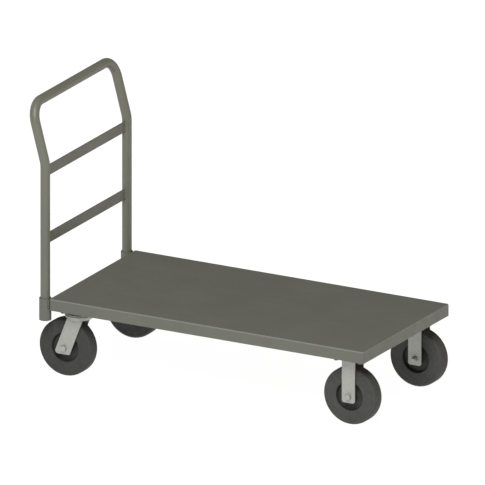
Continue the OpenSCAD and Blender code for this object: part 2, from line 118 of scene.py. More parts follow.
def make_area_light(name, azimuth, elevation, side, power, tint):
    """A square soft light that points at the cart."""
    data = bpy.data.lights.new(name, "AREA")
    data.size = side
    data.energy = power
    data.color = tint
    light = bpy.data.objects.new(name, data)
    away = away_at(azimuth, elevation)
    light.location = LIGHTS_AIM + away * LIGHTS_AWAY
    look_in(light, away)


def make_sky():
    """An even white sky, dimmer where it lights the cart than where it shows behind it."""
    world = bpy.data.worlds.new("studio")
    world.use_nodes = True
    tree = world.node_tree
    sky = tree.nodes["Background"]
    seen = tree.nodes.new("ShaderNodeLightPath").outputs["Is Camera Ray"]
    sky.inputs["Color"].default_value = (1, 1, 1, 1)
    strength = tree.nodes.new("ShaderNodeMapRange")
    strength.inputs["To Min"].default_value = SKY_LIGHT
    strength.inputs["To Max"].default_value = SKY_SEEN
    tree.links.new(seen, strength.inputs["Value"])
    tree.links.new(strength.outputs["Result"], sky.inputs["Strength"])
    bpy.context.scene.world = world


def make_studio():
    """A white sky and floor, a large soft light above the viewer, a warm one and one from behind."""
    bpy.context.scene.view_settings.view_transform = "Standard"
    make_sky()
    make_area_light("key", 16, 49.5, 3.5, 505, (1, 1, 0.97))
    make_area_light("warm_side", 98, 8, 3.0, 42, (1, 0.72, 0.12))
    make_area_light("rear", 255, 24, 3.5, 45, (1, 1, 1))

    bpy.ops.mesh.primitive_plane_add(size=60, location=(0, 0, 0))
    floor = bpy.context.object
    floor.name = "floor"
    material = bpy.data.materials.new("floor_pale")
    material.use_nodes = True
    shader = material.node_tree.nodes["Principled BSDF"]
    shader.inputs["Base Color"].default_value = (0.1, 0.1, 0.1, 1)
    shader.inputs["Roughness"].default_value = 0.9
    shader.inputs["Emission Color"].default_value = (1, 1, 1, 1)
    shader.inputs["Emission Strength"].default_value = 0.97
    floor.data.materials.append(material)


# ---- Materials ----

class Graph:
    """A material's node graph. Textures follow each piece's own coordinates, in metres, and every
    colour put in is made darker or lighter by one factor, which paints in light or shade for lit and
    shaded copies of one material."""

    def __init__(self, name, painted_light_by=1.0):
        self.painted_light_by = painted_light_by
        self.material = bpy.data.materials.new(name)
        self.material.use_nodes = True
        self.tree = self.material.node_tree
        self.shader = self.tree.nodes["Principled BSDF"]
        self.place = self.tree.nodes.new("ShaderNodeTexCoord").outputs["Object"]

    def put(self, socket, value):
        """Links an output to a socket, or sets the socket to a plain value or to a colour toned by the
        painted light factor.
        """
        if isinstance(value, bpy.types.NodeSocket):
            self.tree.links.new(value, socket)
        elif isinstance(value, tuple):
            socket.default_value = (*(c * self.painted_light_by for c in value), 1)
        else:
            socket.default_value = value

    def stretched(self, scale):
        """The piece's coordinates, scaled along each axis."""
        node = self.tree.nodes.new("ShaderNodeMapping")
        self.put(node.inputs["Vector"], self.place)
        node.inputs["Scale"].default_value = scale
        return node.outputs["Vector"]

    def noise(self, scale, detail, roughness=0.55, place=None):
        """Cloudy noise from 0 to 1."""
        node = self.tree.nodes.new("ShaderNodeTexNoise")
        self.put(node.inputs["Vector"], place or self.place)
        node.inputs["Scale"].default_value = scale
        node.inputs["Detail"].default_value = detail
        node.inputs["Roughness"].default_value = roughness
        return node.outputs["Fac"]

    def cells(self, scale):
        """Crystal-like cells, each with its own shade from 0 to 1."""
        node = self.tree.nodes.new("ShaderNodeTexVoronoi")
        self.put(node.inputs["Vector"], self.place)
        node.inputs["Scale"].default_value = scale
        shade = self.tree.nodes.new("ShaderNodeSeparateColor")
        self.put(shade.inputs["Color"], node.outputs["Color"])
        return shade.outputs["Red"]

    def span(self, value, low, high, to_low=0.0, to_high=1.0):
        """A value taken from one range to another, and held at its ends."""
        node = self.tree.nodes.new("ShaderNodeMapRange")
        self.put(node.inputs["Value"], value)
        node.inputs["From Min"].default_value = low
        node.inputs["From Max"].default_value = high
        node.inputs["To Min"].default_value = to_low
        node.inputs["To Max"].default_value = to_high
        return node.outputs["Result"]

    def maths(self, operation, a, b):
        """Two values put together by a sum, product or other operation."""
        node = self.tree.nodes.new("ShaderNodeMath")
        node.operation = operation
        self.put(node.inputs[0], a)
        self.put(node.inputs[1], b)
        return node.outputs["Value"]

    def mix(self, factor, a, b, most=1.0):
        """A colour between two. The factor is scaled down by most, if that is under 1."""
        node = self.tree.nodes.new("ShaderNodeMix")
        node.data_type = "RGBA"
        self.put(node.inputs["Factor"], factor if most == 1.0 else self.maths("MULTIPLY", factor, most))
        self.put(node.inputs[6], a)  # 6, 7 and output 2 are the node's colour sockets
        self.put(node.inputs[7], b)
        return node.outputs[2]

    def edges(self, radius):
        """1 near sharp outside and inside edges, 0 on flat and gently curved faces."""
        bevel = self.tree.nodes.new("ShaderNodeBevel")
        bevel.samples = 4
        bevel.inputs["Radius"].default_value = radius
        true_normal = self.tree.nodes.new("ShaderNodeNewGeometry").outputs["Normal"]
        dot = self.tree.nodes.new("ShaderNodeVectorMath")
        dot.operation = "DOT_PRODUCT"
        self.put(dot.inputs[0], bevel.outputs["Normal"])
        self.put(dot.inputs[1], true_normal)
        return self.span(dot.outputs["Value"], 0.99, 0.86)

    def worn(self, radius, patches, low, high):
        """Edges, where a patchy noise is high."""
        return self.maths("MULTIPLY", self.edges(radius), self.span(patches, low, high))

    def bend(self):
        """1 where the surface turns from level to upright, 0 on level, upright and downward faces. It masks
        the deck's painted highlight.
        """
        parts = self.tree.nodes.new("ShaderNodeSeparateXYZ")
        self.put(parts.inputs["Vector"], self.tree.nodes.new("ShaderNodeTexCoord").outputs["Normal"])
        upward = parts.outputs["Z"]
        return self.maths("MULTIPLY", self.span(upward, 0.04, 0.20), self.span(upward, 0.985, 0.90))

    def bump(self, height, depth, strength, under=None):
        """A surface direction tipped by a height, over another one if given. Depth is in metres."""
        node = self.tree.nodes.new("ShaderNodeBump")
        self.put(node.inputs["Height"], height)
        node.inputs["Distance"].default_value = depth
        node.inputs["Strength"].default_value = strength
        if under:
            self.put(node.inputs["Normal"], under)
        return node.outputs["Normal"]

    def finish(self, colour, roughness, normal, metallic=0.0, specular=0.5):
        """Puts the results into the shader and gives the material."""
        self.put(self.shader.inputs["Base Color"], colour)
        self.put(self.shader.inputs["Roughness"], roughness)
        self.put(self.shader.inputs["Normal"], normal)
        self.put(self.shader.inputs["Metallic"], metallic)
        self.put(self.shader.inputs["Specular IOR Level"], specular)
        return self.material


def enamel(name, painted_light_by=1.0, deck=False):
    """Sprayed grey enamel over steel: faint drift in tone, orange peel and lighter edges, partly worn-thin
    paint and partly a painted highlight. The deck's also has a painted highlight on its bends, patches
    rubbed along it and a few scratches."""
    g = Graph(name, painted_light_by)
    tone = g.mix(g.span(g.noise(5, 4), 0.35, 0.65), (0.112, 0.114, 0.091), (0.122, 0.124, 0.099))
    speck = g.span(g.noise(420, 2), 0.66, 0.78)
    tone = g.mix(speck, tone, (0.187, 0.187, 0.173), most=0.12)
    # Lighter patchy edges, outside and inside: partly worn paint, partly a painted highlight.
    worn = g.worn(0.0016, g.noise(38, 5, 0.7), 0.42, 0.62)
    tone = g.mix(worn, tone, (0.216, 0.216, 0.202), most=0.45)
    rough = g.span(g.noise(24, 4), 0.3, 0.7, 0.40, 0.50)
    if deck:
        # A painted highlight along the deck's bends, where the sheet turns from level to upright.
        tone = g.mix(g.bend(), tone, (0.190, 0.192, 0.168), most=0.85)
        rubbed = g.noise(9, 6, 0.65, place=g.stretched((1.0, 4.5, 1.0)))
        tone = g.mix(g.span(rubbed, 0.50, 0.72, 0.0, 0.28), tone, (0.144, 0.144, 0.128))
        scratch = g.noise(160, 2, 0.5, place=g.stretched((0.06, 1.0, 1.0)))
        line = g.maths("MULTIPLY", g.span(scratch, 0.70, 0.74), g.span(g.noise(7, 2), 0.52, 0.6))
        tone = g.mix(line, tone, (0.194, 0.194, 0.180), most=0.35)
        rough = g.maths("ADD", rough, g.span(rubbed, 0.5, 0.72, 0.0, 0.08))
    peel = g.bump(g.noise(850, 2), 0.00006, 0.5)
    normal = g.bump(g.noise(60, 2), 0.00025, 0.35, under=peel)
    return g.finish(tone, rough, normal)


def zinc_plate():
    """Dull zinc plating on pressed steel: small spangles, faint drawing marks and brighter edges."""
    g = Graph("zinc_plate")
    spangle = g.cells(330)
    tone = g.mix(spangle, (0.364, 0.367, 0.335), (0.418, 0.420, 0.386))
    drawn = g.noise(70, 5, 0.6, place=g.stretched((1.0, 1.0, 0.12)))
    tone = g.mix(g.span(drawn, 0.45, 0.75, 0.0, 0.35), tone, (0.347, 0.347, 0.330))
    stain = g.span(g.noise(21, 5, 0.6), 0.56, 0.74)
    tone = g.mix(stain, tone, (0.297, 0.289, 0.264), most=0.35)
    worn = g.worn(0.0012, g.noise(90, 3), 0.35, 0.6)
    tone = g.mix(worn, tone, (0.545, 0.545, 0.529), most=0.5)
    rough = g.span(g.noise(45, 4), 0.3, 0.7, 0.42, 0.56)
    normal = g.bump(spangle, 0.00003, 0.5, under=g.bump(g.noise(400, 3), 0.00005, 0.5))
    return g.finish(tone, rough, normal, metallic=0.55)


def bright_steel():
    """Bright plated steel with fine turning marks and a little grime."""
    g = Graph("bright_steel")
    fine = g.noise(600, 4, 0.6)
    tone = g.mix(g.span(fine, 0.35, 0.65), (0.367, 0.367, 0.351), (0.437, 0.437, 0.421))
    grime = g.span(g.noise(120, 4, 0.6), 0.56, 0.72)
    tone = g.mix(grime, tone, (0.218, 0.211, 0.187), most=0.5)
    rough = g.span(g.noise(210, 3), 0.3, 0.7, 0.32, 0.46)
    return g.finish(tone, rough, g.bump(fine, 0.00003, 0.5), metallic=0.75)


def dull_steel():
    """Grey phosphated bolts, with a fine grain and brighter rubbed corners."""
    g = Graph("dull_steel")
    grain = g.span(g.noise(300, 4, 0.6), 0.35, 0.65)
    tone = g.mix(grain, (0.120, 0.120, 0.104), (0.164, 0.164, 0.148))
    worn = g.worn(0.0007, g.noise(240, 3), 0.4, 0.6)
    tone = g.mix(worn, tone, (0.336, 0.336, 0.320), most=0.5)
    rough = g.span(g.noise(210, 3), 0.3, 0.7, 0.42, 0.58)
    return g.finish(tone, rough, g.bump(g.noise(600, 4), 0.00003, 0.5), metallic=0.35)


def rubber(name, painted_light_by=1.0):
    """Dark grey mould-on rubber: a fine moulded grain, floor dust on it and a dull sheen."""
    g = Graph(name, painted_light_by)
    drift = g.span(g.noise(16, 5, 0.6), 0.35, 0.7)
    tone = g.mix(drift, (0.045, 0.045, 0.042), (0.058, 0.058, 0.055))
    dust = g.span(g.noise(75, 6, 0.7), 0.52, 0.76)
    tone = g.mix(dust, tone, (0.120, 0.118, 0.108), most=0.30)
    worn = g.worn(0.0015, g.noise(120, 3), 0.4, 0.65)
    tone = g.mix(worn, tone, (0.104, 0.104, 0.100), most=0.25)
    rough = g.span(g.noise(50, 4), 0.3, 0.7, 0.66, 0.82)
    grain = g.bump(g.noise(1300, 3, 0.6), 0.00012, 0.6)
    normal = g.bump(g.noise(130, 3), 0.0002, 0.35, under=grain)
    return g.finish(tone, rough, normal, specular=0.35)


def recess_shade_core():
    """Moulded wheel core, coloured darker than the rubber as painted shade for the wheel's recess: a fine
    cast grain, faint flow marks and slightly shinier lips.
    """
    g = Graph("recess_shade_core")
    flow = g.noise(28, 5, 0.6)
    # Base colours darker than the rubber's: painted shade for the wheel's recess.
    tone = g.mix(g.span(flow, 0.35, 0.65), (0.019, 0.019, 0.018), (0.029, 0.029, 0.026))
    dust = g.span(g.noise(110, 5, 0.7), 0.56, 0.78)
    tone = g.mix(dust, tone, (0.080, 0.078, 0.072), most=0.18)
    lip = g.edges(0.0014)
    tone = g.mix(lip, tone, (0.064, 0.064, 0.062), most=0.2)
    rough = g.maths("SUBTRACT", g.span(flow, 0.3, 0.7, 0.52, 0.64), g.maths("MULTIPLY", lip, 0.1))
    normal = g.bump(g.noise(950, 3, 0.6), 0.00008, 0.5)
    return g.finish(tone, rough, normal, specular=0.4)


def nylon():
    """The pale locking ring in a nylon-insert nut."""
    g = Graph("nylon_ring")
    tone = g.mix(g.span(g.noise(200, 3), 0.35, 0.65), (0.56, 0.57, 0.53), (0.66, 0.67, 0.63))
    rough = g.span(g.noise(300, 2), 0.3, 0.7, 0.42, 0.55)
    return g.finish(tone, rough, g.bump(g.noise(700, 2), 0.00005, 0.4))


# ---- Meshes ----

SHARP_ANGLE = math.radians(34)
ALONG_Y = Matrix.Rotation(QUARTER, 4, "X")
ALONG_X = Matrix(((0, 0, 1, 0), (1, 0, 0, 0), (0, 1, 0, 0), (0, 0, 0, 1)))


def mesh_of(name, parts):
    """One mesh in metres from several (points, faces) parts in millimetres."""
    points, faces = [], []
    for part_points, part_faces in parts:
        start = len(points)
        points += [Vector(p) * MM for p in part_points]
        faces += [tuple(start + i for i in f) for f in part_faces]
    mesh = bpy.data.meshes.new(name)
    mesh.from_pydata(points, [], faces)
    shape = bmesh.new()
    shape.from_mesh(mesh)
    bmesh.ops.recalc_face_normals(shape, faces=shape.faces)
    shape.to_mesh(mesh)
    shape.free()
    return mesh


def even_normals(piece):
    """Large flat faces keep their own direction where they run into small rounded ones."""
    modifier = piece.modifiers.new("even_normals", "WEIGHTED_NORMAL")
    modifier.keep_sharp = True
    modifier.weight = 80


def add_piece(name, parts, body, material, replaced=()):
    """Adds a piece that rides on a CAD body, smooth except where faces meet sharply."""
    mesh = mesh_of(name, parts)
    mesh.shade_smooth()
    mesh.set_sharp_from_angle(angle=SHARP_ANGLE)
    mesh.materials.append(material)
    piece = bpy.data.objects.new(name, mesh)
    bpy.context.scene.collection.objects.link(piece)
    even_normals(piece)
    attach(piece, body)
    if replaced:
        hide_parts(*replaced)


def keep_node(node, material, edge=0.0):
    """Dresses a CAD node that stays, and rounds its sharp edges if asked."""
    shape = NODES[node]
    normals = shape.data.attributes.get("custom_normal")
    if normals:
        shape.data.attributes.remove(normals)
    shape.data.shade_smooth()
    for slot in shape.material_slots:
        slot.material = material
    weld = shape.modifiers.new("joined", "WELD")
    weld.merge_threshold = 0.005 * MM
    flat = shape.modifiers.new("flat_faces", "DECIMATE")
    flat.decimate_type = "DISSOLVE"
    flat.angle_limit = math.radians(0.6)
    if edge:
        round_edges = shape.modifiers.new("round_edges", "BEVEL")
        round_edges.width = edge * MM
        round_edges.segments = 2
        round_edges.limit_method = "ANGLE"
        round_edges.angle_limit = math.radians(32)
        round_edges.harden_normals = False
    even_normals(shape)


def moved(part, matrix):
    """A (points, faces) part carried by a matrix."""
    points, faces = part
    return [matrix @ Vector(p) for p in points], faces


def pointing(place, direction, spin=0):
    """The matrix that carries local +Z to a direction at a place, turned about it by degrees."""
    turn = Vector(direction).to_track_quat("Z", "Y").to_matrix().to_4x4()
    return Matrix.Translation(place) @ turn @ Matrix.Rotation(math.radians(spin), 4, "Z")


def skin(rings, around=False, capped=False):
    """A (points, faces) part through rings of points. A ring of one point closes the skin there,
    around joins the last ring to the first, and capped fills the first and the last ring."""
    points, faces, starts = [], [], []
    for ring in rings:
        starts.append(len(points))
        points += ring
    pairs = list(zip(range(len(rings)), range(1, len(rings))))
    if around:
        pairs.append((len(rings) - 1, 0))
    for a, b in pairs:
        count = max(len(rings[a]), len(rings[b]))
        for i in range(count):
            j = (i + 1) % count
            corners = [starts[a] + i % len(rings[a]), starts[a] + j % len(rings[a]),
                       starts[b] + j % len(rings[b]), starts[b] + i % len(rings[b])]
            faces.append(tuple(dict.fromkeys(corners)))
    if capped:
        faces.append(tuple(reversed(range(len(rings[0])))))
        faces.append(tuple(starts[-1] + i for i in range(len(rings[-1]))))
    return points, faces


def at_angles(radius_at, height, count):
    """A ring of points about Z, whose radius depends on the angle."""
    ring = []
    for i in range(count):
        a = math.tau * i / count
        radius = radius_at(a)
        ring.append(Vector((radius * math.cos(a), radius * math.sin(a), height)))
    return ring


def circle_ring(radius, height, count):
    """A ring of points about Z. A radius of 0 gives a single point."""
    if radius <= 0:
        return [Vector((0, 0, height))]
    return at_angles(lambda _: radius, height, count)


def rounded(corners, steps):
    """A closed outline through corners given as (x, y, radius), each turned by an arc."""
    outline = []
    for i, (x, y, radius) in enumerate(corners):
        here = Vector((x, y))
        back = (Vector(corners[i - 1][:2]) - here).normalized()
        on = (Vector(corners[(i + 1) % len(corners)][:2]) - here).normalized()
        if radius <= 0:
            outline.append(here)
            continue
        half = back.angle(on) / 2
        middle = here + (back + on).normalized() * radius / math.sin(half)
        spoke = here + back * radius / math.tan(half) - middle
        turn = math.copysign(math.pi - 2 * half, back.cross(on) * -1)
        for k in range(steps + 1):
            a = turn * k / steps
            outline.append(middle + Vector((spoke.x * math.cos(a) - spoke.y * math.sin(a),
                                            spoke.x * math.sin(a) + spoke.y * math.cos(a))))
    return outline


def rounded_box(low, high, radius, steps):
    """A rounded rectangle between two corners."""
    (x0, y0), (x1, y1) = low, high
    return rounded([(x0, y0, radius), (x1, y0, radius), (x1, y1, radius), (x0, y1, radius)], steps)


def lathed(outline, count=96):
    """A closed outline of (radius, height) points, spun about Z."""
    return skin([circle_ring(p[0], p[1], count) for p in outline], around=True)


def turned(outline, count=64):
    """An open outline of (radius, height) points that starts and ends on the axis, spun about Z."""
    return skin([circle_ring(p[0], p[1], count) for p in outline])


def drawn_in(outline, by):
    """A closed outline with every point moved inwards, for a rounded edge."""
    turn = sum(outline[i - 1].cross(outline[i]) for i in range(len(outline)))
    inner = []
    for i, here in enumerate(outline):
        back = (here - outline[i - 1]).normalized()
        on = (outline[(i + 1) % len(outline)] - here).normalized()
        way = (back + on).normalized()
        normal = Vector((-way.y, way.x)) * math.copysign(1, turn)
        inner.append(here + normal * by / max(0.5, way.dot(on)))
    return inner


def prism(outline, low, high, edge):
    """An outline in X and Y, drawn out along Z, with its end edges rounded."""
    steps = ((1, 0), (0.5, 0.134), (0.134, 0.5), (0, 1))  # a quarter circle: how far in, how far up
    layers = [(inset, low + rise * edge) for inset, rise in steps]
    layers += [(inset, high - rise * edge) for inset, rise in reversed(steps)]
    rings = [[Vector((*p, z)) for p in drawn_in(outline, inset * edge)] for inset, z in layers]
    return skin(rings, capped=True)


def hexagonal(flats, rings, bore=0.0):
    """A hexagonal body from (largest radius, height) rings. The hexagon cuts off what is wider."""
    count = 72
    body = [circle_ring(bore, rings[0][1], count)]
    for cap, height in rings:
        body.append(at_angles(
            lambda a: min(cap, flats / 2 / math.cos(a % (math.pi / 3) - math.pi / 6)), height, count))
    body.append(circle_ring(bore, rings[-1][1], count))
    return skin(body, around=bore > 0)


def chamfered_head(flats, low, high, chamfered_low=False, bore=0.0):
    """A bolt head or nut whose corners are cut back in a cone at the top, and below too if asked."""
    corner = flats / math.sqrt(3)
    cut = corner - 0.95 * flats / 2
    depth = 0.55 * cut
    cone = [(corner - cut * k / 5, depth * k / 5) for k in range(6)]
    if chamfered_low:
        rings = [(radius, low + depth - rise) for radius, rise in reversed(cone)]
    else:
        rings = [(corner, low)]
    rings += [(radius, high - depth + rise) for radius, rise in cone]
    return hexagonal(flats, rings, bore)


def threaded(radius, low, high, pitch=1.6):
    """A rod with a screw thread and a coned tip at its high end."""
    depth = 0.55 * pitch
    tip = high - 1.2 * depth
    steps = max(2, round((high - low) / pitch * 8))
    rings = [[Vector((0, 0, low))]]
    for k in range(steps + 1):
        height = low + (high - low) * k / steps
        cap = radius - max(0.0, height - tip)

        def thread_r(a):
            """The thread's radius at an angle: a flat crest, a sloped side and a flat root."""
            wave = abs(((height / pitch - a / math.tau) % 1) * 2 - 1)
            return min(cap, radius - depth * min(1, max(0, 1.35 * wave - 0.2)))

        rings.append(at_angles(thread_r, height, 48))
    rings.append([Vector((0, 0, high))])
    return skin(rings)


def bead(start, end, along_a, along_b, reach, pitch=2.6):
    """A rippled fillet weld from start to end, in the corner of two faces that run off along a and b."""
    start, end = Vector(start), Vector(end)
    a, b = Vector(along_a), Vector(along_b)
    length = (end - start).length
    across = 8
    sunk = 0.12
    steps = max(4, round(length / pitch * 5))
    rings = []
    for k in range(steps + 1):
        s = length * k / steps
        taper = min(1, math.sqrt(max(0.02, min(s, length - s) / reach)))
        here = start.lerp(end, k / steps)
        ring = [here - (a + b) * reach * sunk]
        for m in range(across + 1):
            t = m / across
            crescent = s / pitch + 0.8 * (2 * t - 1) ** 2
            swell = 0.94 + 0.1 * abs(math.sin(math.pi * crescent)) + 0.03 * math.sin(0.7 * s + start.y)
            way = a * math.cos(t * QUARTER) + b * math.sin(t * QUARTER)
            ring.append(here + way * reach * swell * taper)
        rings.append(ring)
    return skin(rings, capped=True)


# ---- Deck and what is welded under it ----

SHEET = 2.7
DECK_CORNER, DECK_BEND = 8.5, 4.5
CHANNEL = 3.0
CUT_EDGE = 0.6
STITCH_HALF = 16
SOCKET_WALL = 3.6
SOCKET_WELD_OFF = 9.5  # from the socket's middle, along the flange


def make_deck(paint):
    """One folded sheet: flat top, bent edges, round corners and plain flanges."""
    low, high = ends("deck_pan")

    def bent(radius):
        """One face of the bend, from the level sheet down to the flange, as (inset, height)."""
        middle_z = high.z - DECK_BEND
        return [(DECK_BEND - radius * math.sin(a), middle_z + radius * math.cos(a))
                for a in (QUARTER * k / 6 for k in range(7))]

    section = [(60, high.z - SHEET), (12, high.z - SHEET)]
    section += bent(DECK_BEND - SHEET)
    section += [(SHEET, low.z + 0.8), (SHEET - 0.35, low.z + 0.15), (SHEET - 0.9, low.z),
                (0.9, low.z), (0.35, low.z + 0.15), (0, low.z + 0.8)]
    section += reversed(bent(DECK_BEND))
    section += [(12, high.z), (60, high.z)]
    rings = []
    for inset, z in section:
        outline = rounded_box((low.x + inset, low.y + inset), (high.x - inset, high.y - inset),
                              max(DECK_CORNER - inset, 0.4), 8)
        rings.append([Vector((*p, z)) for p in outline])
    add_piece("deck", [skin(rings, capped=True)], "platform", paint, ["deck_pan"])


def make_bolsters(paint):
    """Folded channels under the deck, with stitch welds up against the sheet."""
    for name in ("front_bolster", "rear_bolster"):
        low, high = ends(name)
        middle = (low + high) / 2
        half, t = (high.x - low.x) / 2, CHANNEL
        channel = rounded([
            (-half, high.z, 0.7), (-half, low.z, 6), (half, low.z, 6), (half, high.z, 0.7),
            (half - t, high.z, 0.7), (half - t, low.z + t, 3), (t - half, low.z + t, 3),
            (t - half, high.z, 0.7),
        ], 5)
        across = Matrix.Translation((middle.x, 0, 0)) @ ALONG_Y
        parts = [moved(prism(channel, low.y, high.y, CUT_EDGE), across)]
        add_piece(f"{name}_channel", parts, "platform", paint, [name])
        stitches = []
        for f in (-1, 1):
            x = middle.x + f * half
            for y in (-240, -120, 0, 120, 240):
                if y == 0 and f * middle.x < 0:
                    continue  # the stiffener's end is here
                stitches.append(bead((x, y - STITCH_HALF, high.z), (x, y + STITCH_HALF, high.z),
                                     (f, 0, 0), (0, 0, -1), 3.6))
        add_piece(f"{name}_stitch_welds", stitches, "platform", paint)


def make_stiffener(paint):
    """Folded hat section along the deck, stitched to the sheet along both feet."""
    low, high = ends("deck_stiffener")
    t, half, foot = CHANNEL, 30, (high.y - low.y) / 2
    hat = rounded([
        (-foot, high.z, 0.7), (-foot, high.z - t, 0.7), (-half, high.z - t, 2), (-half, low.z, 5),
        (half, low.z, 5), (half, high.z - t, 2), (foot, high.z - t, 0.7), (foot, high.z, 0.7),
        (half - t, high.z, 5), (half - t, low.z + t, 2), (t - half, low.z + t, 2), (t - half, high.z, 5),
    ], 5)
    add_piece("stiffener_hat", [moved(prism(hat, low.x, high.x, CUT_EDGE), ALONG_X)], "platform", paint,
              ["deck_stiffener"])
    stitches = []
    count = 7
    for f in (-1, 1):
        for k in range(count):
            x = low.x + (high.x - low.x) * (k + 0.5) / count
            stitches.append(bead((x - STITCH_HALF, f * foot, high.z), (x + STITCH_HALF, f * foot, high.z),
                                 (0, f, 0), (0, 0, -1), 3.0))
    add_piece("stiffener_stitch_welds", stitches, "platform", paint)


def make_sockets(paint):
    """Pipe stubs that hold the handle, closed at the foot and welded to the end flange."""
    end_x = ends("deck_pan")[0].x
    stop_low, stop_high = (corner.z for corner in ends("socket_stops"))
    weld_low, weld_high = (corner.z for corner in ends("socket_welds"))
    stops, welds = [], []
    for side in SIDES:
        node = f"handle_socket_{side}"
        low, high = ends(node)
        middle = (low + high) / 2
        out_r = (high.x - low.x) / 2
        in_r = out_r - SOCKET_WALL
        outline = [(in_r, low.z + 0.6), (in_r + 0.6, low.z), (out_r - 0.9, low.z),
                   (out_r - 0.25, low.z + 0.25), (out_r, low.z + 0.9), (out_r, high.z - 0.9),
                   (out_r - 0.25, high.z - 0.25), (out_r - 0.9, high.z), (in_r + 1.3, high.z),
                   (in_r + 0.3, high.z - 0.5), (in_r, high.z - 1.5)]
        place = Matrix.Translation((middle.x, middle.y, 0))
        add_piece(f"socket_{side}", [moved(lathed(outline), place)], "platform", paint,
                  [node])
        stop_r = in_r - 0.05
        disc = [(0, stop_low), (stop_r - 0.6, stop_low), (stop_r, stop_low + 0.6),
                (stop_r, stop_high - 0.6), (stop_r - 0.6, stop_high), (0, stop_high)]
        stops.append(moved(turned(disc), place))
        for f in (-1, 1):
            y = middle.y + f * SOCKET_WELD_OFF
            welds.append(bead((end_x, y, weld_low), (end_x, y, weld_high), (0, f, 0), (-1, 0, 0), 6.2, 3.4))
    add_piece("socket_foot_discs", stops, "platform", paint, ["socket_stops"])
    add_piece("socket_weld_beads", welds, "platform", paint, ["socket_welds"])


# ---- Handle ----

TUBE_R, TUBE_WALL = 16.7, 3
LEAN = math.radians(15)
LEAN_R, CORNER_R = 115, 63.5
BAR_GAP = 0.05


def pipe(path, out_r, in_r):
    """A pipe through path points, its wall closed and its outer edge cut back at both ends."""
    count, lip = 56, 0.7
    side = Vector((1, 0, 0))
    ways, outer, inner = [], [], []
    for i, here in enumerate(path):
        way = (path[min(i + 1, len(path) - 1)] - path[max(i - 1, 0)]).normalized()
        side = (side - way * side.dot(way)).normalized()
        other = way.cross(side)
        angles = [math.tau * k / count for k in range(count)]
        spokes = [side * math.cos(a) + other * math.sin(a) for a in angles]
        ways.append(way)
        outer.append([here + s * out_r for s in spokes])
        inner.append([here + s * in_r for s in spokes])

    def cut_back(end, into):
        """The rings of a cut edge: on the end's face, and on the pipe's side."""
        face = [path[end] + (p - path[end]) * (1 - lip / out_r) for p in outer[end]]
        return face, [p + into * lip for p in outer[end]]

    first, start = cut_back(0, ways[0])
    last, finish = cut_back(-1, -ways[-1])
    return skin([first, start] + outer[1:-1] + [finish, last] + inner[::-1], around=True)


def make_handle(paint, shaded_bar_paint):
    """The bent pipe, its two flat crossbars and their welds. The pipe and welds take a copy of the enamel
    with painted light, the bars a copy with painted shade.
    """
    low, high = ends("handle_tube")
    post_x, post_y = high.x - TUBE_R, high.y - TUBE_R
    bar = Vector((low.x + TUBE_R, 0, high.z - TUBE_R))
    bend_z = bar.z - (post_x - bar.x) / math.tan(LEAN)
    up = (bar - Vector((post_x, 0, bend_z))).normalized()

    half = [Vector((post_x, post_y, low.z)), Vector((post_x, post_y, low.z + 60))]
    lean_z = bend_z - LEAN_R * math.tan(LEAN / 2)
    for k in range(7):
        a = LEAN * k / 6
        half.append(Vector((post_x - LEAN_R * (1 - math.cos(a)), post_y, lean_z + LEAN_R * math.sin(a))))
    turn = bar + Vector((0, post_y - CORNER_R, 0)) - up * CORNER_R
    for k in range(15):
        a = QUARTER * k / 14
        half.append(turn + Vector((0, math.cos(a), 0)) * CORNER_R + up * math.sin(a) * CORNER_R)
    path = half + [Vector((p.x, -p.y, p.z)) for p in reversed(half)]
    add_piece("handle_pipe", [pipe(path, TUBE_R, TUBE_R - TUBE_WALL)], "handle", paint,
              ["handle_tube"])

    welds = []
    for name in ("upper_crossbar", "lower_crossbar"):
        bar_low, bar_high = ends(name)
        half_t, half_h = (bar_high.x - bar_low.x) / 2, (bar_high.z - bar_low.z) / 2
        z = (bar_low.z + bar_high.z) / 2
        section = rounded_box((-half_t, -half_h), (half_t, half_h), 1.1, 4)
        rings = [[Vector((post_x + u, f * (post_y - math.sqrt((TUBE_R + BAR_GAP) ** 2 - u * u)), z + v))
                  for u, v in section] for f in (-1, 1)]  # the ends follow the posts' round sides
        add_piece(f"{name}_flat", [skin(rings, capped=True)], "handle", shaded_bar_paint, [name])
        for s in (-1, 1):
            for f in (-1, 1):
                corner = Vector((post_x + f * half_t, s * (post_y - TUBE_R + 0.4), z))
                reach = Vector((0, 0, half_h - 1.2))
                welds.append(bead(corner - reach, corner + reach, (0, -s, 0), (f, s * 0.12, 0), 3.3, 2.4))
    add_piece("crossbar_weld_beads", welds, "handle", paint, ["crossbar_welds"])


# ---- Casters ----

AXLE_HEX, BOLT_HEX, KING_HEX = 19, 14.3, 24
AXLE_R, BOLT_R, KING_R = 6.35, 4.75, 8
HEAD_H = 8  # of axle bolts and nuts
FORK_HALF, FORK_T = 33, 4.8
LEG_IN = FORK_HALF - FORK_T
FORK_CORNER, FORK_BEND = 9.5, 8
RAKE = math.radians(21)
LEG_WIDE, LEG_DROP = 56, 22
BALL_R, GROOVE_R, GROOVE_DIP = 33, 4.8, 0.75
HUB_HALF = 26
WASHER_T = 1.5
PLATE_BOLTS = [(x * 46.05, y * 33.35) for x in (-1, 1) for y in (-1, 1)]


def split_washer():
    """A lock washer about Z: a square ring that is cut through and slightly sprung."""
    section = ((4.9, -0.75), (7.9, -0.75), (8.1, -0.55), (8.1, 0.55), (7.9, 0.75), (4.9, 0.75))
    steps = 40
    rings = []
    for m in range(steps + 1):
        a = math.radians(4 + 352 * m / steps)
        z = 1 + 0.35 * (m / steps - 0.5)
        rings.append([Vector((r * math.cos(a), r * math.sin(a), z + h)) for r, h in section])
    return skin(rings, capped=True)


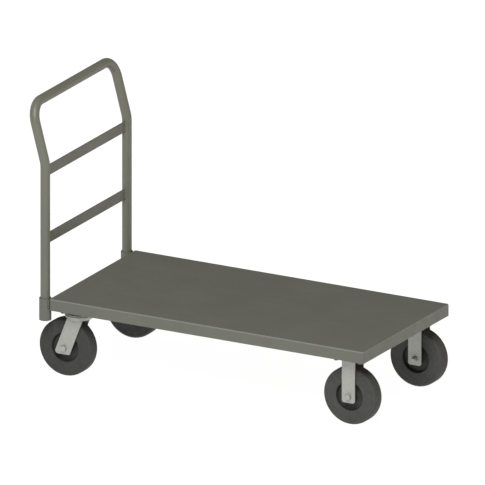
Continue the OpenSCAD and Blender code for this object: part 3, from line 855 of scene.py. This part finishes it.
def make_plate_fasteners(steel, zinc):
    """Bolts put in from below with split lock washers under their heads."""
    head_z = ends("rigid_plate_left")[0].z - 2
    shank_top = ends("caster_bolts")[1].z
    bolts, washers = [], []
    for kind in ("rigid", "swivel"):
        for side, s in SIDES.items():
            plate = centre(f"{kind}_plate_{side}")
            for k, (dx, dy) in enumerate(PLATE_BOLTS):
                place = Vector((plate.x + dx, plate.y + dy, head_z))
                turn = 23 * k + 11 * s + plate.x * 0.3  # each bolt stopped at its own angle
                up, down = pointing(place, (0, 0, 1), turn), pointing(place, (0, 0, -1), turn)
                bolts.append(moved(chamfered_head(BOLT_HEX, 0, 6), down))
                bolts.append(moved(threaded(BOLT_R, -1, shank_top - head_z), up))
                washers.append(moved(split_washer(), up))
    add_piece("plate_bolts", bolts, "platform", steel, ["caster_bolts"])
    add_piece("split_lock_washers", washers, "platform", zinc, ["caster_lock_washers"])


def make_rigid_forks(zinc):
    """One strip folded to a U, its feet rounded, welded along the bends to its plate."""
    leg = FORK_HALF - FORK_T / 2
    line_r = FORK_BEND - FORK_T / 2
    for side in SIDES:
        node = f"rigid_fork_{side}"
        low, high = ends(node)
        middle = (low + high) / 2
        half_w = (high.x - low.x) / 2
        bend_z = high.z - FORK_T / 2 - line_r
        # Half of the strip's middle line, as (y, z), the way its outer face looks, half width, thickness.
        stations = []
        for d in (0.0, 0.35, 1.1, 2.4, 4.4, 6.8, FORK_CORNER):
            w = half_w - FORK_CORNER + math.sqrt(FORK_CORNER ** 2 - (FORK_CORNER - d) ** 2)
            thin = max(0.0, 0.8 - 2.3 * d)
            stations.append(((leg, low.z + d), (1, 0), w, FORK_T - 2 * thin))
        stations.append(((leg, bend_z), (1, 0), half_w, FORK_T))
        for k in range(1, 7):
            out, up = math.cos(QUARTER * k / 6), math.sin(QUARTER * k / 6)
            place = (leg - line_r + line_r * out, bend_z + line_r * up)
            stations.append((place, (out, up), half_w, FORK_T))
        other = [((-y, z), (-ny, nz), w, thick) for (y, z), (ny, nz), w, thick in reversed(stations)]
        rings = []
        for (y, z), (ny, nz), w, thick in stations + other:
            section = rounded_box((-w, -thick / 2), (w, thick / 2), 0.8, 3)
            rings.append([Vector((middle.x + u, middle.y + y + ny * v, z + nz * v)) for u, v in section])
        add_piece(f"fixed_fork_{side}", [skin(rings, capped=True)], "platform", zinc, [node])
        welds = []
        for f in (-1, 1):
            y = middle.y + f * (FORK_HALF - 3.2)
            welds.append(bead((middle.x - half_w + 3, y, high.z), (middle.x + half_w - 3, y, high.z),
                              (0, f, 0), (0, 0, -1), 4.2, 3.0))
        add_piece(f"fixed_fork_welds_{side}", welds, "platform", zinc)


def crown_part(top, foot):
    """The pressed crown about Z, with a ball groove on top and a raised lip around it."""
    web = top - 7.3
    edge = math.acos(GROOVE_DIP / GROOVE_R)
    outline = [Vector((9, web)), Vector((9, top))]
    for k in range(9):
        a = -edge + 2 * edge * k / 8
        outline.append(Vector((BALL_R + GROOVE_R * math.sin(a), top + GROOVE_DIP - GROOVE_R * math.cos(a))))
    outline += rounded([
        (40, top, 1.5), (42, top + 4.5, 1.5), (47.6, top + 4.5, 1.2), (48, top, 0.8), (51, top, 1.8),
        (51, top - 6, 3), (44, foot, 2.4), (24, foot, 1.6), (24, web, 2.5), (9, web, 0),
    ], 5)[:-1]
    return lathed(outline, 112)


def make_swivel_forks(zinc, steel):
    """A pressed crown over two raked legs, welded where the legs leave the crown."""
    for side, s in SIDES.items():
        body = f"swivel_{side}"
        node = f"swivel_fork_{side}"
        king = centre(f"kingpin_{side}")
        axle = centre(f"wheel_core_rear_{side}")
        top = ends(node)[1].z
        foot = top - 15
        crown = moved(crown_part(top, foot), Matrix.Translation((king.x, king.y, 0)))
        half, slope = LEG_WIDE / 2 / math.cos(RAKE), math.tan(RAKE)
        rise = top - axle.z - 6
        leg = rounded([(-half - LEG_DROP * slope, -LEG_DROP, 11), (half - LEG_DROP * slope, -LEG_DROP, 5),
                       (half + rise * slope, rise, 0.5), (-half + rise * slope, rise, 0.5)], 8)
        stand = Matrix.Translation(axle) @ ALONG_Y
        legs = [moved(prism(leg, y, y + FORK_T, 0.9), stand) for y in (LEG_IN, -FORK_HALF)]
        add_piece(f"swivel_fork_shell_{side}", [crown] + legs, body, zinc, [node])
        welds = []
        z = foot + 0.2
        for f in (-1, 1):
            y = king.y + f * FORK_HALF
            welds.append(bead((king.x - 27.5, y, z), (king.x + 26, y, z), (0, f, 0), (0, 0, -1), 4.6, 3.0))
            y = king.y + f * LEG_IN
            welds.append(bead((king.x - 27, y, z), (king.x - 8, y, z), (0, -f, 0), (0, 0, -1), 3.2, 3.0))
        add_piece(f"swivel_fork_welds_{side}", welds, body, zinc)
        make_grease_nipple(side, s, king, steel)
        make_kingpin(side, king, steel)


def make_grease_nipple(side, s, king, steel):
    """The nipple in the crown's side, a small hexagon with a ball-shaped end."""
    node = f"grease_fitting_{side}"
    middle = centre(node)
    start = Vector((middle.x, king.y - s * 51.05, middle.z))
    nipple = [(0, 3.6), (2.2, 3.6), (2.2, 6.0), (1.7, 6.6), (1.7, 7.2), (2.5, 7.9), (2.6, 8.5),
              (2.1, 9.2), (1.1, 9.55), (0.7, 9.6), (0.55, 9.2), (0, 9.1)]
    aim = pointing(start, (0, -s, 0), 15)
    parts = [hexagonal(6.2, [(3.6, 0), (3.6, 3.2), (3.0, 3.8)]), turned(nipple, 32)]
    add_piece(f"grease_nipple_{side}", [moved(p, aim) for p in parts], f"swivel_{side}", steel,
              [node])


def make_kingpin(side, king, steel):
    """The pin that holds the swivel together, with its nut and thrust cup."""
    low, high = ends(f"kingpin_{side}")
    nut_low, nut_high = (corner.z for corner in ends(f"kingpin_nut_{side}"))
    place = Matrix.Translation((king.x, king.y, 0))
    head = [(0, high.z), (11.6, high.z), (13, high.z - 1.2), (13, high.z - 4), (KING_R, high.z - 4.4),
            (KING_R, nut_low + 8), (0, nut_low + 8)]
    thread_z = nut_low + 9
    hanging = Matrix.Translation((king.x, king.y, thread_z)) @ Matrix.Rotation(math.pi, 4, "X")
    thread = moved(threaded(KING_R, 0, thread_z - low.z, 2.0), hanging)
    add_piece(f"kingpin_turned_{side}", [moved(turned(head), place), thread], "platform", steel,
              [f"kingpin_{side}"])
    bore = KING_R + 0.05
    cup_foot = nut_low + 6.5
    nut = hexagonal(KING_HEX, [(12.3, nut_low), (13.2, nut_low + 0.7), (13.9, nut_low + 1.6),
                               (13.9, cup_foot)], bore)
    cup = lathed([(bore, cup_foot), (18.6, cup_foot), (19.7, cup_foot + 0.6), (20, cup_foot + 1.6),
                  (20, nut_high - 0.4), (19.6, nut_high), (16.9, nut_high), (15, nut_high - 0.6),
                  (13.1, nut_high), (bore, nut_high)])
    add_piece(f"kingpin_locknut_{side}", [moved(nut, place), moved(cup, place)], "platform", steel,
              [f"kingpin_nut_{side}"])


def axle_parts(axle, s):
    """Bolt, nut and nylon ring of one axle. The bolt's head is outboard."""
    out = pointing(axle, (0, s, 0), 12)
    back = pointing(axle, (0, -s, 0), 41)
    foot, top = FORK_HALF, FORK_HALF + HEAD_H
    head = chamfered_head(AXLE_HEX, foot + 0.6, top)
    face = lathed([(6, foot), (8.9, foot), (8.9, foot + 0.8), (6, foot + 0.8)], 48)
    shank = turned([(0, -20), (AXLE_R, -20), (AXLE_R, foot + 1), (0, foot + 1)])
    thread = threaded(AXLE_R, 15, top + 5, 1.9)
    nut = chamfered_head(AXLE_HEX, foot, top, chamfered_low=True, bore=AXLE_R + 0.1)
    collar = lathed([(7.4, top - 0.5), (8.6, top - 0.5), (8.6, top + 1.6), (8.1, top + 2.6),
                     (7.2, top + 3.0), (6.9, top + 2.8), (7.4, top + 2.2)], 64)
    ring = lathed([(AXLE_R, top - 0.4), (7.35, top - 0.4), (7.35, top + 2.1), (6.9, top + 2.5),
                   (AXLE_R, top + 2.3)], 64)
    bolt = [moved(part, out) for part in (head, face, shank)] + [moved(thread, back)]
    return bolt, [moved(nut, back), moved(collar, back)], [moved(ring, back)]


def washer_parts(axle):
    """Thin washers in the middle of the gaps between hub and fork legs."""
    low = HUB_HALF + (LEG_IN - HUB_HALF - WASHER_T) / 2
    high = low + WASHER_T
    outline = [(9.6, low), (18.7, low), (19, low + 0.3), (19, high - 0.3), (18.7, high), (9.6, high)]
    return [moved(lathed(outline, 72), pointing(axle, (0, f, 0))) for f in (-1, 1)]


def make_axles(steel, zinc, plastic):
    """Axle bolts, lock nuts and hub washers on the fixed and the swivel forks."""
    sets = {"platform": [], "swivel_left": [], "swivel_right": []}
    for side, s in SIDES.items():
        sets["platform"].append((centre(f"wheel_core_front_{side}"), s))
        sets[f"swivel_{side}"].append((centre(f"wheel_core_rear_{side}"), s))
    for body, axles in sets.items():
        side = body.removeprefix("swivel_")
        if body == "platform":
            bolt_node, nut_node, washer_node = "rigid_axle_bolts", "rigid_axle_nuts", "rigid_hub_washers"
        else:
            bolt_node, nut_node = f"swivel_axle_bolt_{side}", f"swivel_axle_nut_{side}"
            washer_node = f"swivel_hub_washers_{side}"
        bolts, nuts, rings, washers = [], [], [], []
        for axle, s in axles:
            bolt, nut, ring = axle_parts(axle, s)
            bolts += bolt
            nuts += nut
            rings += ring
            washers += washer_parts(axle)
        add_piece(f"{bolt_node}_threaded", bolts, body, steel, [bolt_node])
        add_piece(f"{nut_node}_locking", nuts, body, steel, [nut_node])
        add_piece(f"{body}_nylon_rings", rings, body, plastic)
        add_piece(f"{washer_node}_thin", washers, body, zinc, [washer_node])


# ---- Wheels ----

TYRE_R, TYRE_HALF, TYRE_IN = 101.58, 25.4, 83.5
BORE_R, HUB_R, RECESS_R, RIM_R = 15.1, 24, 51, 83.38
WEB_HALF, RIM_HALF = 11.4, 24.4


def both_halves(points):
    """Half an outline of (radius, height) points, with its mirror image below."""
    return points + [Vector((p.x, -p.y)) for p in reversed(points)]


def make_wheels(treads, core):
    """Moulded rubber that wraps down over the rim, with a shallow ring, rounded shoulders and a
    parting line, on a dished core with a hub, coloured darker as painted shade for the wheel's recess."""
    tyre = both_halves(rounded([
        (TYRE_IN, 0, 0), (TYRE_IN, 24.5, 0.2), (52.2, 24.5, 0.2), (52.2, 25.2, 0.6), (72, 25.2, 20),
        (76, TYRE_HALF, 8), (86.2, TYRE_HALF, 0.5), (87.0, 24.7, 0.4), (88.4, 24.7, 0.4),
        (89.2, TYRE_HALF, 0.5), (TYRE_R - 0.2, TYRE_HALF, 9), (TYRE_R - 0.2, 1.2, 0.3),
        (TYRE_R, 0.7, 0.2), (TYRE_R, 0, 0),
    ], 7)[1:-1])
    dished = both_halves(rounded([
        (BORE_R, 0, 0), (BORE_R, HUB_HALF, 0.8), (HUB_R, HUB_HALF, 1.5), (HUB_R + 1.4, WEB_HALF, 4),
        (RECESS_R - 2.6, WEB_HALF, 5), (RECESS_R, RIM_HALF, 1.4), (RIM_R, RIM_HALF, 0.5), (RIM_R, 0, 0),
    ], 5)[1:-1])
    for wheel in WHEELS:
        turn = pointing(centre(f"wheel_core_{wheel}"), (0, 1, 0))
        add_piece(f"tread_{wheel}", [moved(lathed(tyre, 144), turn)], f"wheel_{wheel}",
                  treads[wheel.split("_")[0]], [f"tyre_{wheel}"])
        add_piece(f"core_{wheel}", [moved(lathed(dished, 144), turn)], f"wheel_{wheel}", core,
                  [f"wheel_core_{wheel}"])


# ---- The cart ----

make_camera()
make_studio()

PAINT = enamel("enamel")
# Lighter and darker copies of the same enamel: painted light on the handle pipe, painted shade on the
# crossbars.
LIT_TUBE_PAINT = enamel("tube_enamel_painted_light", 1.13)
SHADED_BAR_PAINT = enamel("bar_enamel_painted_shade", 0.84)
DECK_PAINT = enamel("deck_enamel", deck=True)
ZINC = zinc_plate()
STEEL = bright_steel()

make_deck(DECK_PAINT)
make_bolsters(PAINT)
make_stiffener(PAINT)
make_sockets(PAINT)
make_handle(LIT_TUBE_PAINT, SHADED_BAR_PAINT)
for name in NODES:
    if name.startswith(("rigid_plate", "swivel_plate")):
        keep_node(name, ZINC, 0.7)
    elif name == "caster_weld_nuts":
        keep_node(name, ZINC)
    elif name.startswith(("load_balls", "thrust_balls", "roller_bearing")) or "axle_sleeve" in name:
        keep_node(name, STEEL)
make_plate_fasteners(dull_steel(), ZINC)
make_rigid_forks(ZINC)
make_swivel_forks(ZINC, STEEL)
make_axles(STEEL, ZINC, nylon())
# The rear wheels' rubber is a darker copy of the front wheels' rubber: painted shade.
make_wheels({"front": rubber("front_rubber"), "rear": rubber("rear_rubber_painted_shade", 0.80)}, recess_shade_core())
